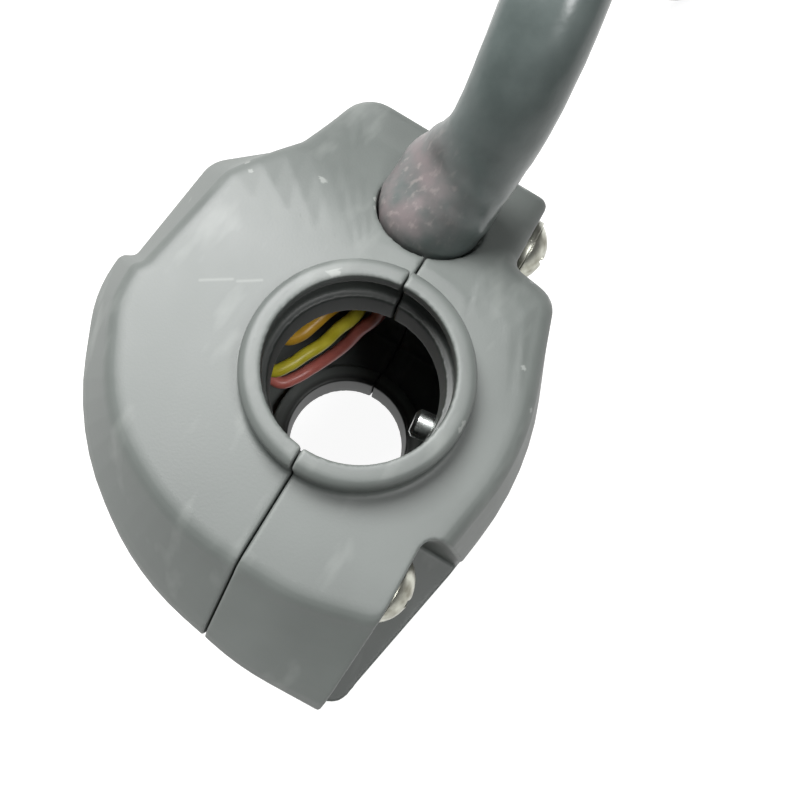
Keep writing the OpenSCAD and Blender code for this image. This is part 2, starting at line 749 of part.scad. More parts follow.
// A contact board held on two posts, with holes for its screws and its contact studs.
module board(x, y, studs) {
    difference() {
        block(
            [x, y - board_w / 2, switch_z - board_l / 2],
            [x + board_t, y + board_w / 2, switch_z + board_l / 2]
        );
        for (side = [-1, 1])
            along_x(x - 1, y, switch_z + side * post_z)
                cylinder(r = board_screw_d / 2 + fit_gap, h = board_t + 2);
        for (s = studs)
            along_x(x - 1, y + s[0], switch_z + s[1]) cylinder(d = stud_d, h = board_t + 2);
    }
}
module stud_row(x, y, studs, height) {
    for (s = studs)
        along_x(x - height, y + s[0], switch_z + s[1])
            cylinder(d = stud_d, h = height + board_t + stud_tail);
}
DIMMER_STUDS = [[0, 4], [0, -4]];
TURN_STUDS = [[-turn_stud_y, 0], [turn_stud_y, 3.6], [-turn_stud_y, -3.6]];
HORN_STUDS = [[0, horn_stud_z], [0, -horn_stud_z]];
module dimmer_board() {
    color("#6b4a2f") board(board_x, rocker_y, DIMMER_STUDS);
}
module dimmer_contacts() {
    color("#c79a3f") stud_row(board_x, rocker_y, DIMMER_STUDS, 0.1);
}
module turn_board() {
    color("#6b4a2f") board(board_x, slider_y, TURN_STUDS);
}
module turn_contacts() {
    color("#c79a3f")
        stud_row(board_x, slider_y, TURN_STUDS, board_x - carriage_x - carriage_t - bridge_t - run_gap);
}

// Turn-signal switch: a carriage behind the slot, and a knob that is pushed in to cancel.
module turn_carriage() {
    color("#26282b") difference() {
        union() {
            block(
                [carriage_x, slider_y - carriage_w / 2, switch_z - carriage_l / 2],
                [carriage_x + carriage_t, slider_y + carriage_w / 2, switch_z + carriage_l / 2]
            );
            block(
                [stem_top_x, slider_y - stem_w / 2, switch_z - stem_l / 2 - 0.1],
                [carriage_x + 0.5, slider_y + stem_w / 2, switch_z + stem_l / 2 + 0.1]
            );
        }
        along_x(stem_top_x - 1, slider_y, switch_z) cylinder(r = knob_stem_d / 2 + fit_gap, h = big);
        along_x(stem_top_x - 1, slider_y, switch_z) cylinder(d = well_d - 0.4, h = well_depth + 1);
    }
}
module turn_knob() {
    grip_l = knob_l - 2;
    stem_end_x = carriage_x + carriage_t - 0.6;
    color("#7d8284") {
        difference() {
            block(
                [knob_face_x + 1.2, slider_y - knob_w / 2, switch_z - knob_l / 2],
                [knob_under_x, slider_y + knob_w / 2, switch_z + knob_l / 2]
            );
            for (side = [-1, 1])
                translate([knob_face_x + 1.2, slider_y, switch_z + side * knob_l / 2])
                    rotate([0, 45, 0]) cube([1, knob_w + 2, 1], center = true);
        }
        block(
            [knob_face_x + 0.6, slider_y - knob_w / 2 + 0.6, switch_z - grip_l / 2],
            [knob_face_x + 1.3, slider_y + knob_w / 2 - 0.6, switch_z + grip_l / 2]
        );
        for (k = [-1:1])
            block(
                [knob_face_x, slider_y - knob_w / 2 + 1, switch_z + k * 2.6 - 0.6],
                [knob_face_x + 0.7, slider_y + knob_w / 2 - 1, switch_z + k * 2.6 + 0.6]
            );
        along_x(knob_under_x - 0.5, slider_y, switch_z)
            cylinder(d = knob_stem_d, h = stem_end_x - knob_under_x + 0.5);
    }
}
module turn_bridge() {
    x = carriage_x + carriage_t;
    color("#cfa54a") difference() {
        block(
            [x, slider_y - carriage_w / 2 + 0.4, switch_z - 5.6],
            [x + bridge_t, slider_y + carriage_w / 2 - 0.4, switch_z + 5.6]
        );
        along_x(x - 1, slider_y, switch_z) cylinder(d = knob_stem_d + 0.8, h = 3);
    }
}
cancel_spring_x = stem_top_x + well_depth;
cancel_wire_d = 0.5;
cancel_spring_d = (well_d - 0.4 + knob_stem_d) / 2;
cancel_spring_l = cancel_spring_x - knob_under_x - cancel_wire_d - 0.1;
cancel_turns = 4;
module cancel_spring() {
    color("#b7b9ba")
        along_x(knob_under_x + cancel_wire_d / 2 + 0.05, slider_y, switch_z)
            tube(spring_route(cancel_spring_d, cancel_spring_l, cancel_turns), cancel_wire_d, 6);
}

// Horn: a round button on a coil spring, with a contact ring under its flange.
module horn_button() {
    top = horn_h - horn_recess;
    round_r = 1.4;
    stem_l = horn_flange_x - horn_flange_t - horn_board_x + board_t + 0.6;
    color("#c9a227") at_horn() {
        along_x(horn_flange_x - horn_flange_t, 0, 0) cylinder(r = horn_flange_r, h = horn_flange_t);
        along_x(horn_flange_x - 0.2, 0, 0) cylinder(d = horn_d, h = top - round_r - horn_flange_x + 0.2);
        along_x(top - round_r, 0, 0) {
            cylinder(d = horn_d - 2 * round_r, h = round_r);
            rotate_extrude() translate([horn_d / 2 - round_r, 0]) intersection() {
                circle(r = round_r);
                square(round_r);
            }
        }
        along_x(horn_flange_x - horn_flange_t - stem_l, 0, 0) cylinder(d = horn_stem_d, h = stem_l + 0.2);
    }
}
module horn_bridge() {
    color("#cfa54a") at_horn() along_x(horn_flange_x - horn_flange_t - horn_bridge_t, 0, 0)
        difference() {
            cylinder(r = horn_flange_r - 0.4, h = horn_bridge_t);
            translate([0, 0, -1]) cylinder(r = horn_flange_r - 2.6, h = horn_bridge_t + 2);
        }
}
horn_wire_d = 0.8;
horn_spring_d = horn_stem_d + 2.6;
horn_spring_l = horn_flange_x - horn_flange_t - horn_board_x - horn_wire_d - 0.1;
horn_turns = 3;
module horn_spring() {
    color("#b7b9ba") at_horn() along_x(horn_board_x + horn_wire_d / 2 + 0.05, 0, 0)
        tube(spring_route(horn_spring_d, horn_spring_l, horn_turns), horn_wire_d, 6);
}
module horn_board() {
    color("#6b4a2f") at_horn() translate([0, 0, -switch_z]) difference() {
        board(horn_board_x - board_t, 0, HORN_STUDS);
        along_x(horn_board_x - board_t - 1, 0, switch_z)
            cylinder(r = horn_stem_d / 2 + fit_gap, h = board_t + 2);
    }
}
module horn_contacts() {
    height = horn_flange_x - horn_flange_t - horn_bridge_t - horn_travel - run_gap - horn_board_x;
    color("#c79a3f") at_horn()
        for (s = HORN_STUDS)
            along_x(horn_board_x - board_t - stud_tail, s[0], s[1])
                cylinder(d = stud_d, h = stud_tail + board_t + height);
}

// Small screws that hold the three boards on their posts.
module board_screw() {
    cylinder(d = board_screw_d, h = board_screw_l);
    translate([0, 0, board_screw_l]) cylinder(d = board_head_d, h = board_head_h);
}
module board_screws() {
    color("#a8aaa8") {
        for (y = [rocker_y, slider_y], side = [-1, 1])
            along_x(board_x + board_t - board_screw_l, y, switch_z + side * post_z) board_screw();
        at_horn() for (side = [-1, 1])
            translate([horn_board_x - board_t + board_screw_l, 0, side * post_z])
                rotate([0, -90, 0]) board_screw();
    }
}

// Wires inside the housing, each up to its place in the mouth of the sleeve.
place_u = across([1, 0, 0], exit_way);
place_v = cross(exit_way, place_u);
function wire_end(k) =
    let (
        a = 360 * k / sleeve_places,
        end = LEAD[0] - place_gap * exit_way + place_r * (cos(a) * place_u + sin(a) * place_v)
    )
    [end - place_run * exit_way, end];
module wire_yellow() {
    color("#d8c21e") tube(concat(YELLOW, wire_end(4)), wire_d);
}
module wire_orange() {
    color("#cf8a1a") tube(concat(ORANGE, wire_end(3)), wire_d);
}
module wire_red() {
    color("#b8433c") tube(concat(RED, wire_end(5)), wire_d);
}
module wire_green() {
    color("#2f7a63") tube(concat(GREEN, wire_end(1)), wire_d);
}
module wire_black() {
    color("#202020") tube(concat(BLACK, wire_end(0)), wire_d);
}
module wire_blue() {
    color("#31549a") tube(concat(BLUE, wire_end(2)), wire_d);
}

// The sleeve, its coil, the tie round the coil and the connector on its end.
function coil_r(a) = coil_d / 2 - coil_pitch * a / 360;
function coil_at(a) = [
    coil_middle.x + coil_r(a) * cos(a), coil_middle.y + coil_r(a) * sin(a), lead_end.z
];
coil_end = coil_at(360 * coil_turns);
tail_middle = [coil_end.x - tail_r, coil_end.y];
plug_back = [tail_middle.x - tail_l, tail_middle.y + tail_r];
COIL = concat(
    [lead_end],
    [for (k = [0:360 * coil_turns / coil_step]) coil_at(k * coil_step)],
    [
        for (k = [1:5])
            [tail_middle.x + tail_r * cos(18 * k), tail_middle.y + tail_r * sin(18 * k), lead_end.z]
    ],
    [[plug_back.x, plug_back.y, lead_end.z]]
);
loop_points = 360 / coil_step;
coil_gap = min([
    for (i = [0:len(COIL) - 1], j = [0:len(COIL) - 1])
        if (j - i > loop_points / 2) norm(COIL[i] - COIL[j])
]) - sleeve_d;
echo(least_gap_of_the_coil = coil_gap);
module harness_lead() {
    root = [for (r = ROOT_R) r * sleeve_d / 10];
    color("#1b1c1b") skin(tube_rings(LEAD, concat(root, [sleeve_d / 2]), 12));
}
module harness_coil() {
    color("#1b1c1b") tube(COIL, sleeve_d, 6);
}
module harness_tie() {
    outer = coil_d / 2 + sleeve_d / 2 + tie_ease;
    inner = coil_r(tie_angle + 360) - sleeve_d / 2 - tie_ease;
    low = lead_end.z - sleeve_d / 2 - tie_ease / 2;
    high = lead_end.z + sleeve_d / 2 + tie_ease;
    color("#2a2a2a") translate([coil_middle.x, coil_middle.y, 0]) rotate([0, 0, tie_angle]) {
        difference() {
            block([inner - tie_t, -tie_w / 2, low - tie_t + 0.2], [outer + tie_t, tie_w / 2, high + tie_t]);
            block([inner, -tie_w, low], [outer, tie_w, high]);
        }
        block([inner - tie_t - 3, -tie_w / 2 - 0.6, high - 4], [inner - tie_t, tie_w / 2 + 0.6, high + tie_t]);
    }
}
plug_floor = 0.4;
plug_wall = 1.6;
plug_cells = [3, 2];
plug_root = 0.6;
module connector_shell() {
    latch_w = 8;
    cell_w = (plug_w - 2 * plug_wall) / plug_cells.x;
    cell_h = (plug_h - 2 * plug_wall) / plug_cells.y;
    color("#d9d6c8") translate([plug_back.x - plug_l, plug_back.y, plug_floor]) difference() {
        union() {
            block([0, -plug_w / 2, 0], [plug_l, plug_w / 2, plug_h]);
            block([6, -latch_w / 2, plug_h - 0.5], [plug_l - 4, latch_w / 2, plug_h + 2]);
            block([6, -latch_w / 2, plug_h + 1], [9, latch_w / 2, plug_h + 3.2]);
        }
        for (i = [0:plug_cells.x - 1], k = [0:plug_cells.y - 1])
            translate([-1, -plug_w / 2 + plug_wall + i * cell_w, plug_wall + k * cell_h])
                block([0, 0.5, 0.5], [plug_l * plug_root + 1, cell_w - 0.5, cell_h - 0.5]);
    }
}
module connector_terminals() {
    cell_w = (plug_w - 2 * plug_wall) / plug_cells.x;
    cell_h = (plug_h - 2 * plug_wall) / plug_cells.y;
    color("#c9a552")
        for (i = [0:plug_cells.x - 1], k = [0:plug_cells.y - 1])
            translate([
                plug_back.x - plug_l, plug_back.y - plug_w / 2 + plug_wall + (i + 0.5) * cell_w,
                plug_floor + plug_wall + (k + 0.5) * cell_h
            ])
                block([4, -1.4, -0.4], [plug_l * plug_root, 1.4, 0.4]);
}

rear_housing();
front_housing();
upper_clamp_screw();
lower_clamp_screw();
clamp_washers();
locating_pin();
dimmer_rocker();
dimmer_pivot();
dimmer_plunger();
dimmer_board();
dimmer_contacts();
turn_knob();
turn_carriage();
turn_bridge();
cancel_spring();
turn_board();
turn_contacts();
horn_button();
horn_bridge();
horn_spring();
horn_board();
horn_contacts();
board_screws();
wire_yellow();
wire_orange();
wire_red();
wire_green();
wire_black();
wire_blue();
harness_lead();
harness_coil();
harness_tie();
connector_shell();
connector_terminals();
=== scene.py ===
"""Looks of a motorbike handlebar switch cluster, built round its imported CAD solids."""

import math

import bmesh
import bpy
from mathutils import Matrix, Vector
from mathutils.kdtree import KDTree
from mathutils.noise import noise as noise_at


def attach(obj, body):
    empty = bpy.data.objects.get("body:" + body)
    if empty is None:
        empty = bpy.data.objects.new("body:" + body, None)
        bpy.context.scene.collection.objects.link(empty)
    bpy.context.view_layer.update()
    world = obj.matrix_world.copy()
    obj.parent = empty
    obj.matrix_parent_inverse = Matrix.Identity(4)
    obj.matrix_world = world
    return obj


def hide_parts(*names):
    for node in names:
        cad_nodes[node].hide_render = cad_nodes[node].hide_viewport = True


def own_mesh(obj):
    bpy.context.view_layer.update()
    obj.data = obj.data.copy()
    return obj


MM = 0.001
# The photograph's view, in millimetres: nearly straight down the bore from the cable end, close by.
VIEW_PLACE = Vector((7.245, -19.65, 124.39))
VIEW_RIGHT = Vector((0.86498, 0.48880, 0.11345))
VIEW_UP = Vector((-0.50142, 0.83322, 0.23303))
VIEW_BACK = Vector((0.01937, -0.25846, 0.96583))
VIEW_LENS = 28.35
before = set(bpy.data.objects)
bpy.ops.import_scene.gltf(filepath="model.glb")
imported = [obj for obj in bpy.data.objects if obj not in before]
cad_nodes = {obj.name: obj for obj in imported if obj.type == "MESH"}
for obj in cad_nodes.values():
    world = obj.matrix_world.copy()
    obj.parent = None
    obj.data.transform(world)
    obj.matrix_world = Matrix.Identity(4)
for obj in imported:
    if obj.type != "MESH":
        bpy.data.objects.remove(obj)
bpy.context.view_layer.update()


def linear(code):
    """An sRGB hex colour as linear RGBA."""
    parts = [int(code[i : i + 2], 16) / 255 for i in (1, 3, 5)]
    return (*[c / 12.92 if c <= 0.04045 else ((c + 0.055) / 1.055) ** 2.4 for c in parts], 1)


def add(tree, kind, links=(), **settings):
    """A node of that kind: settings go to its properties, and links to its inputs as values or sockets."""
    made = tree.nodes.new(kind)
    for name, value in settings.items():
        setattr(made, name, value)
    for key, value in dict(links).items():
        if isinstance(value, bpy.types.NodeSocket):
            tree.links.new(value, made.inputs[key])
        else:
            made.inputs[key].default_value = value
    return made


def finish(name, **sockets):
    """A new material with its shader's own sockets set. Returns the material, its tree and its shader."""
    made = bpy.data.materials.new(name)
    made.use_nodes = True
    shader = made.node_tree.nodes["Principled BSDF"]
    for key, value in sockets.items():
        shader.inputs[key.replace("_", " ")].default_value = value
    return made, made.node_tree, shader


def ramp(tree, factor, *stops):
    """A colour ramp over factor, with stops of (place, hex colour)."""
    made = add(tree, "ShaderNodeValToRGB", {"Fac": factor})
    points = made.color_ramp.elements
    while len(points) < len(stops):
        points.new(1)
    for point, (place, code) in zip(points, stops):
        point.position = place
        point.color = linear(code)
    return made.outputs["Color"]


def span(tree, value, low, high, to_low, to_high):
    """value mapped from one range to another, and kept inside it."""
    made = add(
        tree, "ShaderNodeMapRange",
        {"Value": value, "From Min": low, "From Max": high, "To Min": to_low, "To Max": to_high},
    )
    return made.outputs["Result"]


def noise(tree, place, size_mm, detail=3, stretch=(1, 1, 1)):
    """Noise with features of about that size, on Object coordinates."""
    moved = add(tree, "ShaderNodeMapping", {"Vector": place, "Scale": stretch})
    made = add(
        tree, "ShaderNodeTexNoise",
        {"Vector": moved.outputs["Vector"], "Scale": 1 / (size_mm * MM), "Detail": detail},
    )
    return made.outputs["Fac"]


def object_place(tree):
    return add(tree, "ShaderNodeTexCoord").outputs["Object"]


def bumped(tree, shader, height, depth_mm, strength=1.0):
    """Bump of that depth from height, on the shader's normal."""
    made = add(
        tree, "ShaderNodeBump",
        {"Height": height, "Distance": depth_mm * MM, "Strength": strength},
    )
    tree.links.new(made.outputs["Normal"], shader.inputs["Normal"])


def mixed(tree, factor, first, second, blend="MIX"):
    made = add(tree, "ShaderNodeMix", data_type="RGBA", blend_type=blend)
    for key, value in ((0, factor), (6, first), (7, second)):
        if isinstance(value, bpy.types.NodeSocket):
            tree.links.new(value, made.inputs[key])
        else:
            made.inputs[key].default_value = value
    return made.outputs[2]


def stroke(tree, place, start, end, width_mm):
    """1 on the straight mark between two points in millimetres, falling to 0 a width away from it."""
    way = (Vector(end) - Vector(start)) * MM
    offset = add(tree, "ShaderNodeVectorMath", {0: place, 1: Vector(start) * MM}, operation="SUBTRACT")
    along = add(
        tree, "ShaderNodeVectorMath",
        {0: offset.outputs["Vector"], 1: way / way.length_squared}, operation="DOT_PRODUCT",
    )
    kept = span(tree, along.outputs["Value"], 0, 1, 0, 1)
    foot = add(tree, "ShaderNodeVectorMath", {0: way, "Scale": kept}, operation="SCALE")
    gap = add(
        tree, "ShaderNodeVectorMath",
        {0: offset.outputs["Vector"], 1: foot.outputs["Vector"]}, operation="DISTANCE",
    )
    return span(tree, gap.outputs["Value"], 0, width_mm * MM, 1, 0)


def most(tree, *values):
    """The largest of several values."""
    kept = values[0]
    for value in values[1:]:
        kept = add(tree, "ShaderNodeMath", {0: kept, 1: value}, operation="MAXIMUM").outputs[0]
    return kept


def times(tree, first, second):
    return add(tree, "ShaderNodeMath", {0: first, 1: second}, operation="MULTIPLY").outputs[0]


# Marks on the housing, in millimetres: pale scratches on the faces, and dark nicks across the rim.
SCRATCHES = [
    ((-34.4, 13.4, 44), (-30.8, 8.9, 46.2)), ((-23, 0.7, 50), (-19.8, 2.9, 50)),
    ((-19.1, 3, 50), (-16.7, 4.7, 50)),
]
NICKS = [
    ((-9.4, -9.2, 53.6), (-8.2, -8.2, 53.9)), ((-8, -10.4, 53.6), (-7, -9.4, 53.9)),
    ((4.2, -13.2, 53.7), (4.4, -12, 53.9)),
]


def satin_abs():
    """Black ABS, moulded with a fine satin grain, painted lighter than the black plastic as a stand-in for
    its sheen under bright light, with a painted highlight on its edges, painted shade in the bore and
    cloudy handling wear.
    """
    made, tree, shader = finish("moulded_satin_abs", Roughness=0.54, IOR=1.5, Specular_IOR_Level=0.85)
    place = object_place(tree)
    cloud = noise(tree, place, 14, 4)
    # Painted sheen: the black plastic gets a mid grey tone that stands in for its sheen under bright light.
    tone = ramp(tree, cloud, (0.25, "#595e5b"), (0.75, "#676c69"))
    smear = noise(tree, place, 5, 3, (1, 0.35, 0.6))
    tone = mixed(tree, span(tree, smear, 0.58, 0.75, 0, 0.3), tone, linear("#989c98"))
    # Painted highlight: convex edges and rims are painted lighter, as if catching the light.
    edge_highlight = add(tree, "ShaderNodeNewGeometry").outputs["Pointiness"]
    tone = mixed(tree, span(tree, edge_highlight, 0.53, 0.6, 0, 0.4), tone, linear("#a9aca8"))
    scratch = most(tree, *[stroke(tree, place, a, b, 0.3) for a, b in SCRATCHES])
    tone = mixed(tree, times(tree, scratch, 0.14), tone, linear("#c9cbc6"))
    nick = most(tree, *[stroke(tree, place, a, b, 0.22) for a, b in NICKS])
    tone = mixed(tree, times(tree, nick, 0.8), tone, linear("#3c3f3d"))
    # Painted shade: inside the bore, where the light does not reach, the tone is darkened towards the black
    # of the plastic.
    flat_place = add(tree, "ShaderNodeVectorMath", {0: place, 1: (1, 1, 0)}, operation="MULTIPLY")
    reach = add(tree, "ShaderNodeVectorMath", {0: flat_place.outputs["Vector"]}, operation="LENGTH")
    near_bar = span(tree, reach.outputs["Value"], 0.0119, 0.0127, 1, 0)
    height = add(tree, "ShaderNodeSeparateXYZ", {"Vector": place}).outputs["Z"]
    bore_shade = times(tree, near_bar, span(tree, height, 0.0535, 0.0546, 1, 0))
    tone = mixed(tree, times(tree, bore_shade, 0.85), tone, linear("#2c302d"))
    tree.links.new(tone, shader.inputs["Base Color"])
    tree.links.new(span(tree, cloud, 0.3, 0.7, 0.5, 0.58), shader.inputs["Roughness"])
    # The real grain is about 0.1 mm, and is drawn at 0.35 mm so that it shows.
    bumped(tree, shader, noise(tree, place, 0.35, 2), 0.02, 0.5)
    return made


def plain_abs(name, dark, light, roughness):
    """Moulded ABS of a switch key: even colour with a faint cloud and a fine grain."""
    made, tree, shader = finish(name, Roughness=roughness, IOR=1.5)
    place = object_place(tree)
    tone = ramp(tree, noise(tree, place, 5, 3), (0.3, dark), (0.7, light))
    tree.links.new(tone, shader.inputs["Base Color"])
    bumped(tree, shader, noise(tree, place, 0.3, 2), 0.015, 0.5)
    return made


def metal(name, dark, light, roughness, grain_mm):
    """A metal with a drawn or plated surface: a cloud of tarnish and a fine grain."""
    made, tree, shader = finish(name, Metallic=1.0, Roughness=roughness)
    place = object_place(tree)
    cloud = noise(tree, place, 2.5, 4)
    tree.links.new(ramp(tree, cloud, (0.3, dark), (0.65, light)), shader.inputs["Base Color"])
    tree.links.new(
        span(tree, cloud, 0.3, 0.7, roughness + 0.12, roughness - 0.06), shader.inputs["Roughness"]
    )
    bumped(tree, shader, noise(tree, place, grain_mm, 2), 0.01, 0.4)
    return made


def wire_pvc(name, dark, light):
    """PVC wire insulation: smooth and slightly glossy, dusty in the hollow."""
    made, tree, shader = finish(name, Roughness=0.38, IOR=1.53)
    place = object_place(tree)
    tone = ramp(tree, noise(tree, place, 3, 3), (0.3, dark), (0.7, light))
    tree.links.new(tone, shader.inputs["Base Color"])
    bumped(tree, shader, noise(tree, place, 0.6, 2), 0.02, 0.5)
    return made


def laminate():
    """Brown phenolic laminate: matt, with a paper fleck."""
    made, tree, shader = finish("phenolic_laminate", Roughness=0.6, IOR=1.55)
    place = object_place(tree)
    tone = ramp(tree, noise(tree, place, 0.8, 3), (0.35, "#5a3a22"), (0.65, "#7d5634"))
    tree.links.new(tone, shader.inputs["Base Color"])
    return made


def nylon():
    """Natural nylon: milky, smooth, faintly uneven."""
    made, tree, shader = finish("natural_nylon", Roughness=0.42, IOR=1.53, Subsurface_Weight=0.1)
    shader.inputs["Subsurface Radius"].default_value = (0.002, 0.002, 0.0016)
    place = object_place(tree)
    tone = ramp(tree, noise(tree, place, 6, 3), (0.3, "#cfccbd"), (0.7, "#dcd9cc"))
    tree.links.new(tone, shader.inputs["Base Color"])
    bumped(tree, shader, noise(tree, place, 0.5, 2), 0.02, 0.4)
    return made


# The middle of the sleeve's rubbed patch, in metres, and a painted highlight beside it, a small pale glint,
# in millimetres.
SCUFF_MIDDLE = (-0.0085, 0.024, 0.053)
PAINTED_GLINT = ((-6.6, 21.4, 50), (-6, 20.9, 50.6))


def sleeve_pvc():
    """Black PVC sleeving, glossy and creased, rubbed to a pinkish brown where it leaves the housing."""
    made, tree, shader = finish("glossy_pvc_sleeve", Roughness=0.32, IOR=1.53)
    place = object_place(tree)
    tone = ramp(tree, noise(tree, place, 5, 4), (0.3, "#515a58"), (0.7, "#626b69"))
    root = add(tree, "ShaderNodeVectorMath", {0: place, 1: SCUFF_MIDDLE}, operation="DISTANCE")
    near = span(tree, root.outputs["Value"], 0.0045, 0.0115, 1, 0)
    patch = span(tree, noise(tree, place, 3.2, 4, (1, 1, 0.6)), 0.3, 0.62, 0.15, 1)
    worn = times(tree, times(tree, near, patch), 0.8)
    tone = mixed(tree, worn, tone, linear("#85797a"))
    streak = span(tree, noise(tree, place, 0.9, 3, (1, 1, 0.22)), 0.56, 0.7, 0, 1)
    tone = mixed(tree, times(tree, times(tree, near, streak), 0.3), tone, linear("#b5aaa6"))
    # Painted highlight: a small pale glint on the sleeve's crease.
    glint_mark = stroke(tree, place, *PAINTED_GLINT, 0.6)
    tone = mixed(tree, glint_mark, tone, linear("#d8d2b4"))
    tree.links.new(tone, shader.inputs["Base Color"])
    tree.links.new(span(tree, worn, 0, 1, 0.3, 0.52), shader.inputs["Roughness"])
    bumped(tree, shader, noise(tree, place, 1.1, 3), 0.05, 0.5)
    return made


housing_finish = satin_abs()
zinc = metal("zinc_plated_steel", "#8d8b7e", "#c9cabf", 0.34, 0.4)
pin_steel = metal("drawn_steel_pin", "#9fa6a4", "#d5d9d6", 0.26, 0.3)
spring_steel = metal("spring_steel", "#83888a", "#b9bcbc", 0.3, 0.2)
brass = metal("pressed_brass", "#94742f", "#c9a552", 0.32, 0.3)
key_black = plain_abs("black_key_abs", "#262727", "#303131", 0.42)
key_grey = plain_abs("grey_key_abs", "#6f7375", "#7d8183", 0.45)
key_yellow = plain_abs("yellow_key_abs", "#b8951f", "#c7a42c", 0.42)
board_finish = laminate()
connector_finish = nylon()
tie_finish = plain_abs("black_tie_nylon", "#202121", "#2b2c2c", 0.45)
sleeve_finish = sleeve_pvc()

PAINT = {
    "rear_housing": housing_finish,
    "front_housing": housing_finish,
    "upper_clamp_screw": zinc,
    "lower_clamp_screw": zinc,
    "clamp_washers": zinc,
    "locating_pin": pin_steel,
    "dimmer_rocker": key_black,
    "dimmer_pivot": pin_steel,
    "dimmer_plunger": brass,
    "dimmer_board": board_finish,
    "dimmer_contacts": brass,
    "turn_knob": key_grey,
    "turn_carriage": key_black,
    "turn_bridge": brass,
    "cancel_spring": spring_steel,
    "turn_board": board_finish,
    "turn_contacts": brass,
    "horn_button": key_yellow,
    "horn_bridge": brass,
    "horn_spring": spring_steel,
    "horn_board": board_finish,
    "horn_contacts": brass,
    "board_screws": zinc,
    "harness_tie": tie_finish,
    "connector_shell": connector_finish,
    "connector_terminals": brass,
}
for name, paint in PAINT.items():
    cad_nodes[name].data.materials.clear()
    cad_nodes[name].data.materials.append(paint)

# The moulded halves: their solids welded, remeshed finely and smoothed a little, so that every edge
# has the small round of a moulding, and thinned out again where they are flat.
MOULD_VOXEL = 0.28 * MM
MOULD_KEEP = {"rear_housing": 0.27, "front_housing": 0.34}
for name, keep in MOULD_KEEP.items():
    shell = cad_nodes[name]
    weld = shell.modifiers.new("weld", "WELD")
    weld.merge_threshold = 0.001 * MM
    remesh = shell.modifiers.new("moulding", "REMESH")
    remesh.mode = "VOXEL"
    remesh.voxel_size = MOULD_VOXEL
    remesh.use_smooth_shade = True
    soft = shell.modifiers.new("soft_edges", "SMOOTH")
    soft.factor = 0.5
    soft.iterations = 3
    thin = shell.modifiers.new("thin_out", "DECIMATE")
    thin.ratio = keep


def bevel_node(name, width_mm, segments=3):
    """Welds a CAD node's triangles and rounds its sharp edges."""
    part = cad_nodes[name]
    weld = part.modifiers.new("weld", "WELD")
    weld.merge_threshold = 0.001 * MM
    bevel = part.modifiers.new("round", "BEVEL")
    bevel.width = width_mm * MM
    bevel.segments = segments
    bevel.limit_method = "ANGLE"
    bevel.angle_limit = math.radians(30)
    bevel.harden_normals = True
    for face in part.data.polygons:
        face.use_smooth = True


BEVELS = {
    "dimmer_rocker": 0.5, "turn_knob": 0.3, "turn_carriage": 0.2, "horn_button": 0.15,
    "dimmer_board": 0.15, "turn_board": 0.15, "horn_board": 0.15, "harness_tie": 0.15,
    "connector_shell": 0.3, "connector_terminals": 0.15, "upper_clamp_screw": 0.12,
    "lower_clamp_screw": 0.12, "clamp_washers": 0.12, "locating_pin": 0.15,
}
for name, width in BEVELS.items():
    bevel_node(name, width)


def coil_spring(name, body):
    """A copy of a spring's solid, attached to its body in place of the solid."""
    mesh = cad_nodes[name].data.copy()
    mesh.transform(cad_nodes[name].matrix_world)
    made = bpy.data.objects.new(name + "_coil", mesh)
    bpy.context.scene.collection.objects.link(made)
    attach(made, body)
    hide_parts(name)
    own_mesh(made)


coil_spring("horn_spring", "housing")
coil_spring("cancel_spring", "turn_slider")


def route_curve(name, points, diameter, sides=5):
    """A round tube on one smooth open line through points, which are in millimetres."""
    data = bpy.data.curves.new(name, "CURVE")
    data.dimensions = "3D"
    data.bevel_depth = diameter / 2 * MM
    data.bevel_resolution = sides
    data.resolution_u = 8
    data.use_fill_caps = True
    line = data.splines.new("BEZIER")
    line.bezier_points.add(len(points) - 1)
    for knot, place in zip(line.bezier_points, points):
        knot.co = Vector(place) * MM
        knot.handle_left_type = "AUTO"
        knot.handle_right_type = "AUTO"
    made = bpy.data.objects.new(name, data)
    bpy.context.scene.collection.objects.link(made)
    return made


# The harness sleeve's route: out of its hole, over the edge, down to the table and round its coil.
SLEEVE_D = 10
LEAD = [
    (-5.2, 20.6, 36), (-4.7, 22.3, 40), (-4.2, 24, 44), (-3.7, 25.7, 48), (-2.8, 27.9, 51.6),
    (-1.5, 30.05, 55.4), (-0.4, 31.8, 59.2), (0.05, 33.35, 63), (0, 35.6, 67), (-0.3, 38.8, 70.5),
    (-0.8, 42.6, 73.1), (-1.3, 47.3, 74.9), (-1.7, 52.2, 75.5), (-2, 57.2, 74.9), (-2.2, 62.4, 73),
    (-2.3, 69, 68.2), (-2.2, 78, 60.2), (-1.9, 88, 51.2), (-1.2, 98, 42.2), (0.3, 108, 33.2),
    (2.8, 117, 25.1), (6.2, 125.4, 17.9), (9.9, 133.2, 12.1), (13.3, 140.6, 8.5), (16, 147.4, 6.7),
    (17.7, 153.4, 6), (18.3, 158.4, 6), (18.3, 162, 6),
]
ROOT_R = [5, 5.1, 5.8, 7.6, 7.5, 6.5, 5.6, 5.4, 5.3, 5.2]
COIL_D = 86
COIL_PITCH = 10.6
COIL_ENTRY = 6
COIL_STEP = 15
TAIL_R = 19.5
TAIL_L = 2
lead_x, lead_y, lead_z = LEAD[-1]
coil_x = lead_x - COIL_D / 2
coil_y = lead_y + COIL_ENTRY
coil_line = []
for angle in range(0, 361, COIL_STEP):
    radius = COIL_D / 2 - COIL_PITCH * angle / 360
    turn = math.radians(angle)
    coil_line.append((coil_x + radius * math.cos(turn), coil_y + radius * math.sin(turn), lead_z))
tail_x = coil_line[-1][0] - TAIL_R
tail_y = coil_line[-1][1]
tail_line = []
for k in range(1, 6):
    turn = math.radians(18 * k)
    tail_line.append((tail_x + TAIL_R * math.cos(turn), tail_y + TAIL_R * math.sin(turn), lead_z))
tail_line.append((tail_x - TAIL_L, tail_y + TAIL_R, lead_z))

